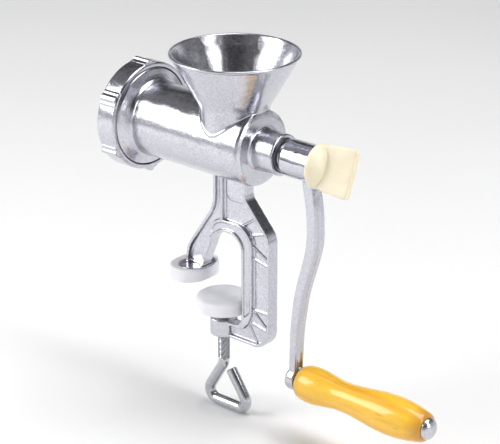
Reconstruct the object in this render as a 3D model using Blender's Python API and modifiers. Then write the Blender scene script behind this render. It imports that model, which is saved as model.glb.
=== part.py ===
"""Hand crank meat grinder, as one solid per physical piece.

Frame, in metres: the origin is the middle of the upper jaw pad's lower face, the face that
rests on the table top. +X points to the crank, -X to the outlet, +Z is up. The barrel axis is
parallel to X, and the clamp is symmetric about the XZ plane.
"""

import math

import bmesh
import bpy
import numpy as np
from mathutils import Matrix, Vector

# ---- driving dimensions ----
GAP = 0.0003  # clearance between neighbouring pieces

AXIS_Z = 0.118  # barrel axis above the table top
BARREL_R = 0.0287
BORE_R = 0.0254
BARREL_REAR = 0.0690
SHOULDER_X = -0.0370  # where the barrel starts to flare into the threaded collar
COLLAR_REAR = -0.0430
COLLAR_R = 0.0375
MOUTH_X = -0.0565
PLATE_SEAT_X = -0.0514
PLATE_SEAT_R = 0.0314
REAR_WALL_X = 0.0620
SLEEVE_R = 0.0157
SLEEVE_END = 0.0899
BUSH_R = 0.0126

HOPPER_X = 0.0420
RIM_R = 0.0485
RIM_RISE = 0.0680  # rim above the barrel axis

RING_REAR = -0.0427
RING_FRONT = -0.0607
RING_R = 0.0415
LUG_TIP_R = 0.0443
LUGS = 6

FRAME_HALF = 0.0050  # half the depth of the clamp frame across Y
WEB_HALF = 0.0020
SCREW_X = 0.0300
BOSS_R = 0.0105
BOSS_TOP = -0.0262
BOSS_FOOT = -0.0400
ROD_R = 0.0046
LOOP_R = 0.0042

SHAFT_R = 0.0098
SHAFT_SQUARE = 0.0130
SHAFT_END = 0.1120
CRANK_REAR = 0.0930
CRANK_FRONT = 0.1207
CRANK_BOSS_R = 0.0140
CRANK_LENGTH = 0.1740
SPINDLE_Z = AXIS_Z - CRANK_LENGTH
SPINDLE_R = 0.0036
GRIP_START = 0.1085
GRIP_LENGTH = 0.1160

KNOB_X = 0.1212
KNOB_R = 0.0168
KNOB_TILT = math.radians(21)

AXIS_ORIGIN = Vector((0, 0, AXIS_Z))
SPINDLE_ORIGIN = Vector((0, 0, SPINDLE_Z))
X_AXIS = Vector((1, 0, 0))
Z_AXIS = Vector((0, 0, 1))
KEY_ORIGIN = Vector((0, 0, AXIS_Z + 0.0288))


# ---- scene and materials ----
def clear_scene():
    for obj in list(bpy.data.objects):
        bpy.data.objects.remove(obj, do_unlink=True)
    bpy.context.scene.unit_settings.scale_length = 1.0


def new_collection(name):
    made = bpy.data.collections.new(name)
    bpy.context.scene.collection.children.link(made)
    return made


clear_scene()
PARTS = new_collection("meat_grinder")
CUTTERS = new_collection("meat_grinder_cutters")

FINISHES = {
    "cast_aluminium": ((0.80, 0.80, 0.83), 1.0, 0.28),
    "polished_aluminium": ((0.86, 0.86, 0.88), 1.0, 0.12),
    "steel": ((0.62, 0.63, 0.65), 1.0, 0.25),
    "white_plastic": ((0.90, 0.90, 0.93), 0.0, 0.45),
    "ivory_plastic": ((0.86, 0.82, 0.66), 0.0, 0.35),
    "wood": ((0.85, 0.52, 0.07), 0.0, 0.25),
}


def finish(kind, name):
    color, metallic, roughness = FINISHES[kind]
    made = bpy.data.materials.new(name)
    made.use_nodes = True
    shader = made.node_tree.nodes["Principled BSDF"]
    shader.inputs["Base Color"].default_value = (*color, 1)
    shader.inputs["Metallic"].default_value = metallic
    shader.inputs["Roughness"].default_value = roughness
    return made


# ---- mesh helpers ----
def mesh_from(name, verts, faces):
    mesh = bpy.data.meshes.new(name)
    mesh.from_pydata([tuple(v) for v in verts], [], faces)
    return closed_outward(mesh)


def closed_outward(mesh):
    """Welds the mesh's seams and turns its faces outwards."""
    work = bmesh.new()
    work.from_mesh(mesh)
    bmesh.ops.remove_doubles(work, verts=work.verts, dist=2e-6)
    bmesh.ops.recalc_face_normals(work, faces=work.faces)
    if work.calc_volume(signed=True) < 0:
        bmesh.ops.reverse_faces(work, faces=work.faces)
    work.to_mesh(mesh)
    work.free()
    return mesh


def add_part(name, mesh, kind, origin=None):
    """A visible piece. Its origin goes on its own joint axis when one is given."""
    obj = bpy.data.objects.new(name, mesh)
    PARTS.objects.link(obj)
    obj.data.materials.append(finish(kind, name))
    if origin is not None:
        mesh.transform(Matrix.Translation(-Vector(origin)))
        obj.location = origin
    return obj


def add_helper(name, mesh):
    obj = bpy.data.objects.new(name, mesh)
    CUTTERS.objects.link(obj)
    obj.hide_render = True
    obj.display_type = "WIRE"
    return obj


def combine(target, operation, name, mesh):
    modifier = target.modifiers.new(name, "BOOLEAN")
    modifier.object = add_helper(name, mesh)
    modifier.operation = operation
    modifier.solver = "EXACT"


def join(target, name, mesh):
    combine(target, "UNION", name, mesh)


def cut(target, name, mesh):
    combine(target, "DIFFERENCE", name, mesh)


def loft(name, loops):
    """A closed solid through loops of equal length, flat at both ends."""
    count = len(loops[0])
    verts = [v for loop in loops for v in loop]
    faces = []
    for i in range(len(loops) - 1):
        for j in range(count):
            k = (j + 1) % count
            faces.append((i * count + j, i * count + k, (i + 1) * count + k, (i + 1) * count + j))
    faces.append(tuple(reversed(range(count))))
    faces.append(tuple(range((len(loops) - 1) * count, len(loops) * count)))
    return mesh_from(name, verts, faces)


def circle_at(centre, axis, radius, segments):
    """Points of a circle round the axis, starting from the top or from +X."""
    start = Z_AXIS if abs(axis.x) > 0.5 else X_AXIS
    side = axis.cross(start)
    turns = np.linspace(0, 2 * math.pi, segments, endpoint=False)
    return [centre + radius * (math.cos(t) * start + math.sin(t) * side) for t in turns]


def shaped(name, data, place, *modifiers):
    """The mesh that Blender makes from a curve or a profile with modifiers, put in its place."""
    obj = bpy.data.objects.new(name, data)
    PARTS.objects.link(obj)
    for kind, values in modifiers:
        modifier = obj.modifiers.new(kind.lower(), kind)
        for key, value in values.items():
            setattr(modifier, key, value)
    graph = bpy.context.evaluated_depsgraph_get()
    mesh = bpy.data.meshes.new_from_object(obj.evaluated_get(graph))
    bpy.data.objects.remove(obj, do_unlink=True)
    mesh.materials.clear()
    mesh.transform(place)
    return closed_outward(mesh)


def screwed(name, points, closed, origin, axis, segments):
    """A (along, radius) line turned round the axis by a Screw modifier."""
    line = bpy.data.meshes.new(name)
    edges = [(i, i + 1) for i in range(len(points) - 1)]
    if closed:
        edges.append((len(points) - 1, 0))
    line.from_pydata([(radius, 0, along) for along, radius in points], edges, [])
    start = Z_AXIS if abs(axis.x) > 0.5 else X_AXIS
    place = Matrix((start, axis.cross(start), axis)).transposed().to_4x4()
    place.translation = origin
    turn = {
        "steps": segments,
        "render_steps": segments,
        "use_merge_vertices": True,
        "merge_threshold": 1e-6,
    }
    return shaped(name, line, place, ("SCREW", turn))


def turned(name, profile, origin=AXIS_ORIGIN, axis=X_AXIS, segments=40):
    """A solid of revolution from (distance along the axis, radius) pairs."""
    points = [(profile[0][0], 0.0)] + list(profile) + [(profile[-1][0], 0.0)]
    return screwed(name, points, False, origin, axis, segments)


def turned_tube(name, profile, origin=AXIS_ORIGIN, axis=X_AXIS, segments=40):
    """A solid of revolution from a closed (along, radius) loop that stays off the axis."""
    return screwed(name, profile, True, origin, axis, segments)


def flat_curve(name, outline, half_depth, place):
    """A flat outline as a filled 2D curve, extruded to both sides of its plane."""
    curve = bpy.data.curves.new(name, "CURVE")
    curve.dimensions = "2D"
    curve.fill_mode = "BOTH"
    curve.extrude = half_depth
    spline = curve.splines.new("POLY")
    spline.points.add(len(outline) - 1)
    for point, (x, y) in zip(spline.points, outline):
        point.co = (x, y, 0, 1)
    spline.use_cyclic_u = True
    mesh = shaped(name, curve, place)
    work = bmesh.new()
    work.from_mesh(mesh)
    inner = [edge for edge in work.edges if edge.calc_face_angle(1.0) < 1e-4]
    bmesh.ops.dissolve_edges(work, edges=inner)
    work.to_mesh(mesh)
    work.free()
    return mesh


def prism(name, outline, half_depth):
    """An XZ outline carried from -half_depth to +half_depth in Y."""
    return flat_curve(name, outline, half_depth, Matrix.Rotation(math.pi / 2, 4, "X"))


def block(name, low, high):
    """A box between two corners."""
    size = [b - a for a, b in zip(low, high)]
    middle = [(a + b) / 2 for a, b in zip(low, high)]
    work = bmesh.new()
    bmesh.ops.create_cube(work, size=1, matrix=Matrix.Translation(middle) @ Matrix.Diagonal((*size, 1)))
    mesh = bpy.data.meshes.new(name)
    work.to_mesh(mesh)
    work.free()
    return mesh


def slab(name, outline, z0, z1):
    """An XY outline carried from z0 to z1."""
    return flat_curve(name, outline, (z1 - z0) / 2, Matrix.Translation((0, 0, (z0 + z1) / 2)))


def obround(centre_x, half_width, half_length, steps=10):
    """An XY outline whose long axis is Y, with round ends."""
    reach = half_length - half_width
    points = []
    for sign in (1, -1):
        for i in range(steps + 1):
            turn = math.pi * i / steps + (0 if sign > 0 else math.pi)
            points.append(
                (centre_x + half_width * math.cos(turn), sign * reach + half_width * math.sin(turn))
            )
    return points


def rounded(corners, steps=5):
    """A line through (x, z, radius) corners, each corner turned into an arc of its radius."""
    points = []
    for i, (x, z, radius) in enumerate(corners):
        here = Vector((x, z))
        if radius == 0:
            points.append(here)
            continue
        before = (Vector(corners[i - 1][:2]) - here).normalized()
        after = (Vector(corners[(i + 1) % len(corners)][:2]) - here).normalized()
        half = before.angle(after) / 2
        centre = here + (before + after).normalized() * radius / math.sin(half)
        first = here + before * radius / math.tan(half) - centre
        last = here + after * radius / math.tan(half) - centre
        sweep = first.angle_signed(last)
        for step in range(steps + 1):
            points.append(centre + Matrix.Rotation(-sweep * step / steps, 2) @ first)
    return points


def shifted(line, distance):
    """An open line moved to its left by the distance, in its own plane."""
    moved = []
    for i, point in enumerate(line):
        before = (point - line[i - 1]).normalized() if i else None
        after = (line[i + 1] - point).normalized() if i + 1 < len(line) else None
        along = ((before or after) + (after or before)).normalized()
        normal = Vector((-along.y, along.x))
        straight = Vector((-(after or before).y, (after or before).x))
        moved.append(point + normal * distance / max(normal.dot(straight), 0.3))
    return moved


def swept(name, path, radii, resolution=4):
    """A round bar along a path: a curve with a bevel depth and filled caps."""
    curve = bpy.data.curves.new(name, "CURVE")
    curve.dimensions = "3D"
    curve.bevel_depth = 1.0
    curve.bevel_resolution = resolution
    curve.use_fill_caps = True
    spline = curve.splines.new("POLY")
    spline.points.add(len(path) - 1)
    for point, place, radius in zip(spline.points, path, radii):
        point.co = (*place, 1)
        point.radius = radius
    return shaped(name, curve, Matrix.Identity(4))


# ---- clamp frame outlines, in the XZ plane ----
OUTER_LEFT = [(0.0240, 0.1000, 0), (0.0240, 0.0640, 0.030), (-0.0035, 0.0240, 0.025), (-0.0045, 0.0080, 0)]
OUTER_RIGHT = [
    (0.0300, -0.0398, 0),
    (0.0794, -0.0398, 0.015),
    (0.0794, 0.0510, 0.016),
    (0.0560, 0.0770, 0.008),
    (0.0560, 0.1000, 0),
]
INNER = [
    (0.0112, 0.0080, 0),
    (0.0261, 0.0456, 0.018),
    (0.0522, 0.0456, 0.013),
    (0.0522, -0.0277, 0.008),
    (0.0300, -0.0277, 0),
]
BEAD = [(0.0095, 0.0080, 0), (0.0240, 0.0535, 0.014), (0.0611, 0.0535, 0.015), (0.0611, -0.0140, 0)]
NECK_PAD = [(0.0360, 0.0975, 0), (0.0360, 0.0715, 0.006), (0.0545, 0.0715, 0.006), (0.0545, 0.0975, 0)]
NECK_RIB_X = 0.0323
FLANGE = 0.0023
BEAD_HALF = 0.0011
ZIGZAG = [
    ((0.0496, 0.0525), (0.0668, 0.0645)),
    ((0.0600, 0.0485), (0.0762, 0.0534)),
    ((0.0618, 0.0405), (0.0785, 0.0312)),
    ((0.0618, 0.0306), (0.0785, 0.0270)),
    ((0.0618, -0.0112), (0.0785, -0.0110)),
    ((0.0630, -0.0125), (0.0768, -0.0241)),
    ((0.0585, -0.0219), (0.0745, -0.0252)),
    ((0.0580, -0.0235), (0.0664, -0.0375)),
]


def frame_pockets():
    """Outlines of the pockets left of the neck rib, right of it, and inside the bead."""
    outer_left = rounded(OUTER_LEFT)
    outer_right = rounded(OUTER_RIGHT)
    inner = rounded(INNER)
    bead = rounded(BEAD)
    outside = shifted(bead, BEAD_HALF)
    top = 0.096
    left = [Vector((NECK_RIB_X - BEAD_HALF, top)), Vector((0.0240 + FLANGE, top))]
    left += [p for p in shifted(outer_left, FLANGE) if p.y < top - 0.002]
    left += [p for p in outside if p.x < NECK_RIB_X - 0.003]
    left.append(Vector((NECK_RIB_X - BEAD_HALF, 0.0535 + BEAD_HALF)))
    right = [Vector((NECK_RIB_X + BEAD_HALF, top)), Vector((NECK_RIB_X + BEAD_HALF, 0.0535 + BEAD_HALF))]
    right += [p for p in outside if p.x > NECK_RIB_X + 0.003]
    right += [Vector((0.0590, -0.0225)), Vector((0.0530, -0.0288)), Vector((0.0460, -0.0302))]
    right += [Vector((0.0380, -0.0302)), Vector((0.0380, -0.0398 + FLANGE))]
    right += [p for p in shifted(outer_right, FLANGE)[1:] if p.y < top - 0.002]
    right.append(Vector((0.0560 - FLANGE, top)))
    band = [p for p in shifted(inner, FLANGE * 0.8) if p.y > -0.020 and p.x > 0.0120 or p.y > 0.02]
    band += list(reversed(shifted(bead, -BEAD_HALF)))
    return left, right, band


def rib_outline(start, end, half=0.0008):
    start = Vector(start)
    end = Vector(end)
    along = (end - start).normalized()
    across = Vector((-along.y, along.x)) * half
    return [start + across, start - across, end - across, end + across]


def mirrored_pocket(target, name, outline, floor_half, top_half):
    """Cuts an outline into both faces of the frame, down to floor_half from the XZ plane."""
    for sign, side in ((-1, "near"), (1, "far")):
        loops = [
            [Vector((p[0], sign * y, p[1])) for p in outline] for y in (floor_half, top_half)
        ]
        cut(target, f"{name}_{side}", loft(f"{name}_{side}", loops))


def hopper_loops(wall, low, high, segments=48):
    """Level loops of the funnel. It is round at the rim, and narrower along X at the barrel."""
    stations = [
        (0.0020, 0.0226, 0.0266),
        (0.0140, 0.0228, 0.0266),
        (0.0210, 0.0234, 0.0267),
        (0.0290, 0.0260, 0.0276),
        (0.0370, 0.0310, 0.0314),
        (0.0480, 0.0374, 0.0374),
        (0.0590, 0.0434, 0.0434),
        (0.0655, 0.0468, 0.0468),
    ]
    loops = []
    for rise, half_x, half_y in stations:
        if not low <= rise <= high:
            continue
        loops.append(hopper_loop(rise, half_x - wall, half_y - wall, segments))
    return loops


def hopper_loop(rise, half_x, half_y, segments=48):
    turns = np.linspace(0, 2 * math.pi, segments, endpoint=False)
    return [
        Vector((HOPPER_X + half_x * math.cos(t), half_y * math.sin(t), AXIS_Z + rise)) for t in turns
    ]


def hopper_solid():
    loops = hopper_loops(0.0, 0.0, 0.07)
    for rise, radius in ((0.0660, RIM_R), (0.0672, RIM_R + 0.0002), (RIM_RISE, RIM_R - 0.0004)):
        loops.append(hopper_loop(rise, radius, radius))
    return loft("hopper", loops)


def hopper_hollow():
    wall = 0.0024
    loops = [hopper_loop(-0.0040, 0.0200, 0.0236)] + hopper_loops(wall, 0.01, 0.06)
    loops.append(hopper_loop(RIM_RISE, RIM_R - wall, RIM_R - wall))
    loops.append(hopper_loop(RIM_RISE + 0.004, RIM_R - wall + 0.0024, RIM_R - wall + 0.0024))
    return loft("hopper_hollow", loops)


# ---- body casting ----
def make_body_casting():
    outline = rounded(OUTER_LEFT) + rounded(INNER) + rounded(OUTER_RIGHT)
    body = add_part("body_casting", prism("frame_blank", outline, FRAME_HALF), "cast_aluminium")
    left, right, band = frame_pockets()
    mirrored_pocket(body, "pocket_left", left, WEB_HALF, 0.008)
    mirrored_pocket(body, "pocket_right", right, WEB_HALF, 0.008)
    mirrored_pocket(body, "pocket_band", band, 0.0034, 0.008)
    for i, (start, end) in enumerate(ZIGZAG):
        join(body, f"web_rib_{i + 1}", prism(f"web_rib_{i + 1}", rib_outline(start, end), 0.0044))
    join(body, "neck_pad", prism("neck_pad", rounded(NECK_PAD), 0.0028))
    join(body, "jaw_foot", slab("jaw_foot", obround(0.0030, 0.0112, 0.0155), 0.0076, 0.0112))
    boss = [
        (BOSS_FOOT, BOSS_R - 0.0006),
        (BOSS_FOOT + 0.0006, BOSS_R),
        (BOSS_TOP - 0.0006, BOSS_R),
        (BOSS_TOP, BOSS_R - 0.0006),
    ]
    join(body, "screw_boss", turned("screw_boss", boss, Vector((SCREW_X, 0, 0)), Z_AXIS, 32))
    barrel = [
        (MOUTH_X, COLLAR_R - 0.0006),
        (MOUTH_X + 0.0008, COLLAR_R),
        (COLLAR_REAR - 0.0005, COLLAR_R),
        (COLLAR_REAR + 0.0006, COLLAR_R - 0.0008),
        (SHOULDER_X - 0.0020, BARREL_R + 0.0020),
        (SHOULDER_X, BARREL_R + 0.0004),
        (SHOULDER_X + 0.0012, BARREL_R),
        (0.0655, BARREL_R),
        (0.0676, BARREL_R - 0.0009),
        (BARREL_REAR, BARREL_R - 0.0036),
        (BARREL_REAR + 0.0006, SLEEVE_R + 0.0018),
        (BARREL_REAR + 0.0026, SLEEVE_R),
        (SLEEVE_END - 0.0007, SLEEVE_R),
        (SLEEVE_END, SLEEVE_R - 0.0007),
    ]
    join(body, "barrel", turned("barrel", barrel, segments=48))
    join(body, "hopper", hopper_solid())
    bore = [
        (MOUTH_X - 0.004, PLATE_SEAT_R),
        (PLATE_SEAT_X, PLATE_SEAT_R),
        (PLATE_SEAT_X, BORE_R),
        (REAR_WALL_X, BORE_R),
        (REAR_WALL_X, BUSH_R),
        (SLEEVE_END + 0.004, BUSH_R),
    ]
    cut(body, "bore", turned("bore", bore, segments=48))
    cut(body, "hopper_hollow", hopper_hollow())
    rod_hole = [(BOSS_FOOT - 0.004, ROD_R + 0.0005), (BOSS_TOP + 0.004, ROD_R + 0.0005)]
    cut(body, "rod_hole", turned("rod_hole", rod_hole, Vector((SCREW_X, 0, 0)), Z_AXIS, 24))
    key_hole = [(PLATE_SEAT_X - 0.002, 0.0019), (PLATE_SEAT_X + 0.0065, 0.0019)]
    cut(body, "key_hole", turned("key_hole", key_hole, KEY_ORIGIN, X_AXIS, 12))


# ---- fixed pieces ----
def make_jaw_pad():
    steps = [(0.0000, 0.0012), (0.0012, 0.0), (0.0098, 0.0), (0.0110, 0.0012)]
    loops = []
    for z, inset in steps:
        loops.append([Vector((x, y, z)) for x, y in obround(0.0, 0.0150 - inset, 0.0208 - inset, 12)])
    pad = add_part("jaw_pad", loft("jaw_pad", loops), "white_plastic")
    grown = obround(0.0030, 0.0112 + GAP, 0.0155 + GAP)
    cut(pad, "foot_recess", slab("foot_recess", grown, 0.0076 - GAP, 0.0150))


def make_bearing_bush():
    inner = SHAFT_R + GAP
    outer = BUSH_R - GAP
    profile = [
        (REAR_WALL_X + 0.0005, inner),
        (REAR_WALL_X + 0.0005, outer),
        (SLEEVE_END + 0.0008, outer),
        (SLEEVE_END + 0.0008, inner),
    ]
    add_part("bearing_bush", turned_tube("bearing_bush", profile), "steel")


def make_plate_key():
    profile = [
        (PLATE_SEAT_X - 0.0045, 0.0012),
        (PLATE_SEAT_X - 0.0041, 0.0016),
        (PLATE_SEAT_X + 0.0060, 0.0016),
    ]
    add_part("plate_key", turned("plate_key", profile, KEY_ORIGIN, X_AXIS, 12), "steel")


# ---- outlet: plate and ring ----
PLATE_R = 0.0310
PLATE_REAR = PLATE_SEAT_X - GAP
PLATE_FRONT = PLATE_REAR - 0.0060


def plate_holes():
    """Centres of the plate's round holes, in three rings round the centre hole."""
    centres = []
    for radius, count in ((0.0105, 6), (0.0170, 11), (0.0238, 16)):
        for i in range(count):
            turn = 2 * math.pi * (i + 0.5) / count
            centres.append((radius * math.sin(turn), radius * math.cos(turn)))
    return centres


def make_cutting_plate():
    profile = [
        (PLATE_FRONT, PLATE_R - 0.0004),
        (PLATE_FRONT + 0.0004, PLATE_R),
        (PLATE_REAR - 0.0004, PLATE_R),
        (PLATE_REAR, PLATE_R - 0.0004),
    ]
    plate = add_part("cutting_plate", turned("cutting_plate", profile), "steel", AXIS_ORIGIN)
    low = PLATE_FRONT - 0.002
    high = PLATE_REAR + 0.002
    cut(plate, "plate_centre", turned("plate_centre", [(low, 0.0045), (high, 0.0045)], segments=16))
    for i, (y, z) in enumerate(plate_holes()):
        hole = [(low, 0.0022), (high, 0.0022)]
        where = AXIS_ORIGIN + Vector((0, y, z))
        cut(plate, f"plate_hole_{i + 1}", turned(f"plate_hole_{i + 1}", hole, where, X_AXIS, 8))
    notch = block("plate_notch", (low, -0.0020, KEY_ORIGIN.z - 0.0020), (high, 0.0020, KEY_ORIGIN.z + 0.0060))
    cut(plate, "plate_notch", notch)


def make_retaining_ring():
    lip = 0.0275
    inner = COLLAR_R + 0.0005
    stop = PLATE_FRONT - GAP
    profile = [
        (RING_REAR, inner),
        (RING_REAR, RING_R - 0.0012),
        (RING_REAR - 0.0012, RING_R),
        (RING_FRONT + 0.0014, RING_R),
        (RING_FRONT, RING_R - 0.0014),
        (RING_FRONT, lip + 0.0008),
        (RING_FRONT + 0.0008, lip),
        (stop, lip),
        (stop, inner),
    ]
    mesh = turned_tube("retaining_ring", profile, segments=48)
    ring = add_part("retaining_ring", mesh, "cast_aluminium", AXIS_ORIGIN)
    for i in range(LUGS):
        turn = 2 * math.pi * i / LUGS
        join(ring, f"lug_{i + 1}", lug(f"lug_{i + 1}", turn))


def lug(name, turn):
    """A rib along X on the ring, on a wider low step."""
    section = [
        (-0.0062, RING_R - 0.0015),
        (-0.0050, RING_R + 0.0006),
        (-0.0026, RING_R + 0.0009),
        (-0.0016, LUG_TIP_R - 0.0003),
        (0.0, LUG_TIP_R),
        (0.0016, LUG_TIP_R - 0.0003),
        (0.0026, RING_R + 0.0009),
        (0.0050, RING_R + 0.0006),
        (0.0062, RING_R - 0.0015),
    ]
    spin = Matrix.Rotation(turn, 4, "X")
    loops = []
    for along in (RING_REAR - 0.0006, RING_FRONT + 0.0016):
        loops.append([AXIS_ORIGIN + spin @ Vector((along, y, z)) for y, z in section])
    return loft(name, loops)


# ---- rotor ----
AUGER_R = 0.0246
AUGER_FRONT = -0.0440
AUGER_REAR = 0.0590
AUGER_CORE = [
    (AUGER_FRONT, 0.0088),
    (AUGER_FRONT + 0.030, 0.0096),
    (0.0500, 0.0130),
    (AUGER_REAR - 0.0030, 0.0200),
    (AUGER_REAR, 0.0200),
    (AUGER_REAR, SHAFT_R),
    (CRANK_REAR - 0.0012, SHAFT_R),
    (CRANK_REAR - 0.0006, SHAFT_SQUARE / 2),
]


def flight():
    """The screw's helical blade, tighter towards the outlet."""
    loops = []
    turns = 3.4
    steps = 82
    for i in range(steps + 1):
        share = i / steps
        along = AUGER_FRONT + 0.0030 + (AUGER_REAR - AUGER_FRONT - 0.010) * (0.78 * share + 0.22 * share**2)
        spin = Matrix.Rotation(2 * math.pi * turns * share, 4, "X")
        half = 0.0022
        section = [(-half, 0.0060), (-half * 0.55, AUGER_R), (half * 0.55, AUGER_R), (half, 0.0060)]
        loops.append([AXIS_ORIGIN + spin @ Vector((along + a, 0, r)) for a, r in section])
    return loft("flight", loops)


def make_feed_screw():
    mesh = turned("feed_screw", AUGER_CORE, segments=24)
    screw = add_part("feed_screw", mesh, "cast_aluminium", AXIS_ORIGIN)
    join(screw, "flight", flight())
    half = SHAFT_SQUARE / 2
    low = (CRANK_REAR - 0.0020, -half, AXIS_Z - half)
    join(screw, "shaft_square", block("shaft_square", low, (SHAFT_END, half, AXIS_Z + half)))
    tapped = [(SHAFT_END - 0.020, 0.0041), (SHAFT_END + 0.004, 0.0041)]
    cut(screw, "tapped_hole", turned("tapped_hole", tapped, segments=12))
    socket = [(AUGER_FRONT - 0.004, 0.0050 + GAP), (AUGER_FRONT + 0.0140, 0.0050 + GAP)]
    cut(screw, "stud_socket", turned("stud_socket", socket, segments=16))


KNIFE_REAR = AUGER_FRONT - GAP
KNIFE_FRONT = PLATE_SEAT_X


def make_drive_stud():
    half = 0.0044
    pin = [
        (PLATE_FRONT - 0.0020, 0.0034),
        (PLATE_FRONT - 0.0014, 0.0040),
        (AUGER_FRONT + 0.0030, 0.0040),
    ]
    stud = add_part("drive_stud", turned("drive_stud", pin, segments=16), "steel", AXIS_ORIGIN)
    low = (KNIFE_FRONT + 0.0001, -half, AXIS_Z - half)
    join(stud, "stud_square", block("stud_square", low, (AUGER_FRONT - 0.0004, half, AXIS_Z + half)))
    root = [(AUGER_FRONT - 0.0001, 0.0050), (AUGER_FRONT + 0.0130, 0.0050)]
    join(stud, "stud_root", turned("stud_root", root, segments=16))


def make_cross_knife():
    hub = [(KNIFE_FRONT + GAP, 0.0092), (KNIFE_REAR, 0.0092)]
    knife = add_part("cross_knife", turned("cross_knife", hub, segments=24), "steel", AXIS_ORIGIN)
    for i in range(4):
        spin = Matrix.Rotation(math.pi / 4 + i * math.pi / 2, 4, "X")
        section = [(0.0070, -0.0052), (0.0236, -0.0036), (0.0242, 0.0034), (0.0070, 0.0050)]
        loops = []
        for along, share in ((KNIFE_FRONT + GAP, 1.0), (KNIFE_REAR - 0.0012, 0.72)):
            loops.append([AXIS_ORIGIN + spin @ Vector((along, y * share, r)) for r, y in section])
        join(knife, f"blade_{i + 1}", loft(f"blade_{i + 1}", loops))
    half = 0.0044 + GAP
    low = (KNIFE_FRONT - 0.003, -half, AXIS_Z - half)
    cut(knife, "knife_square", block("knife_square", low, (KNIFE_REAR + 0.003, half, AXIS_Z + half)))


def make_thrust_washer():
    profile = [
        (AUGER_REAR + GAP, SHAFT_R + GAP),
        (AUGER_REAR + GAP, 0.0170),
        (REAR_WALL_X - GAP, 0.0170),
        (REAR_WALL_X - GAP, SHAFT_R + GAP),
    ]
    add_part("thrust_washer", turned_tube("thrust_washer", profile, segments=32), "steel", AXIS_ORIGIN)


# ---- crank ----
# Stations down the arm: drop below the barrel axis, inner face along X, thickness along X.
ARM_STATIONS = [
    (0.0060, 0.1085, 0.0110),
    (0.0195, 0.1105, 0.0106),
    (0.0380, 0.1134, 0.0104),
    (0.0580, 0.1140, 0.0102),
    (0.0700, 0.1122, 0.0098),
    (0.0835, 0.1085, 0.0094),
    (0.0960, 0.1052, 0.0088),
    (0.1090, 0.1025, 0.0082),
    (0.1330, 0.0998, 0.0072),
    (0.1550, 0.0992, 0.0064),
    (0.1700, 0.0990, 0.0060),
]
ARM_HALF = 0.0053
ARM_SECTION = [
    (0.00, -0.60),
    (0.16, -1.00),
    (0.90, -1.00),
    (1.00, -0.88),
    (1.00, -0.62),
    (0.84, -0.48),
    (0.84, 0.48),
    (1.00, 0.62),
    (1.00, 0.88),
    (0.90, 1.00),
    (0.16, 1.00),
    (0.00, 0.60),
]


def arm_solid():
    loops = []
    for drop, inner, thick in ARM_STATIONS:
        loops.append([Vector((inner + u * thick, v * ARM_HALF, AXIS_Z - drop)) for u, v in ARM_SECTION])
    return loft("arm", loops)


EYE_REAR = 0.0968
EYE_FRONT = 0.1056


def make_crank_arm():
    boss = [
        (CRANK_REAR, CRANK_BOSS_R - 0.0034),
        (CRANK_REAR + 0.0012, CRANK_BOSS_R - 0.0012),
        (CRANK_REAR + 0.0034, CRANK_BOSS_R),
        (CRANK_FRONT - 0.0006, CRANK_BOSS_R),
        (CRANK_FRONT, CRANK_BOSS_R - 0.0006),
    ]
    mesh = turned("crank_arm", boss, segments=32)
    crank = add_part("crank_arm", mesh, "polished_aluminium", AXIS_ORIGIN)
    join(crank, "arm", arm_solid())
    eye = [
        (EYE_REAR, 0.0060),
        (EYE_REAR + 0.0014, 0.0082),
        (EYE_REAR + 0.0030, 0.0088),
        (EYE_FRONT - 0.0006, 0.0088),
        (EYE_FRONT, 0.0082),
    ]
    join(crank, "eye", turned("eye", eye, SPINDLE_ORIGIN, segments=24))
    half = SHAFT_SQUARE / 2 + GAP
    low = (CRANK_REAR - 0.004, -half, AXIS_Z - half)
    cut(crank, "boss_square", block("boss_square", low, (SHAFT_END + 0.002, half, AXIS_Z + half)))
    clear = [(SHAFT_END, 0.0048), (CRANK_FRONT + 0.004, 0.0048)]
    cut(crank, "stud_hole", turned("stud_hole", clear, segments=16))
    pin = [(EYE_REAR - 0.004, SPINDLE_R + GAP), (EYE_FRONT + 0.004, SPINDLE_R + GAP)]
    cut(crank, "spindle_hole", turned("spindle_hole", pin, SPINDLE_ORIGIN, segments=16))


GRIP_END = GRIP_START + GRIP_LENGTH


def make_handle_spindle():
    rivet = EYE_REAR - 0.0004
    end = GRIP_END + GAP
    profile = [
        (rivet - 0.0020, 0.0022),
        (rivet - 0.0012, 0.0046),
        (rivet, 0.0052),
        (rivet, SPINDLE_R),
        (end, SPINDLE_R),
        (end, 0.0082),
        (end + 0.0016, 0.0082),
        (end + 0.0036, 0.0070),
        (end + 0.0052, 0.0046),
        (end + 0.0060, 0.0018),
    ]
    mesh = turned("handle_spindle", profile, SPINDLE_ORIGIN, segments=20)
    add_part("handle_spindle", mesh, "steel", SPINDLE_ORIGIN)


def make_spindle_washer():
    inner = SPINDLE_R + GAP
    profile = [
        (EYE_FRONT + GAP, inner),
        (EYE_FRONT + GAP, 0.0066),
        (GRIP_START - GAP, 0.0066),
        (GRIP_START - GAP, inner),
    ]
    mesh = turned_tube("spindle_washer", profile, SPINDLE_ORIGIN, segments=20)
    add_part("spindle_washer", mesh, "steel", SPINDLE_ORIGIN)


GRIP_PROFILE = [
    (0.000, 0.0098),
    (0.012, 0.0120),
    (0.045, 0.0134),
    (0.100, 0.0140),
    (0.160, 0.0136),
    (0.230, 0.0124),
    (0.310, 0.0112),
    (0.400, 0.0113),
    (0.500, 0.0125),
    (0.610, 0.0141),
    (0.700, 0.0149),
    (0.790, 0.0148),
    (0.880, 0.0137),
    (0.960, 0.0118),
    (0.990, 0.0107),
    (1.000, 0.0096),
]


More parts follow.
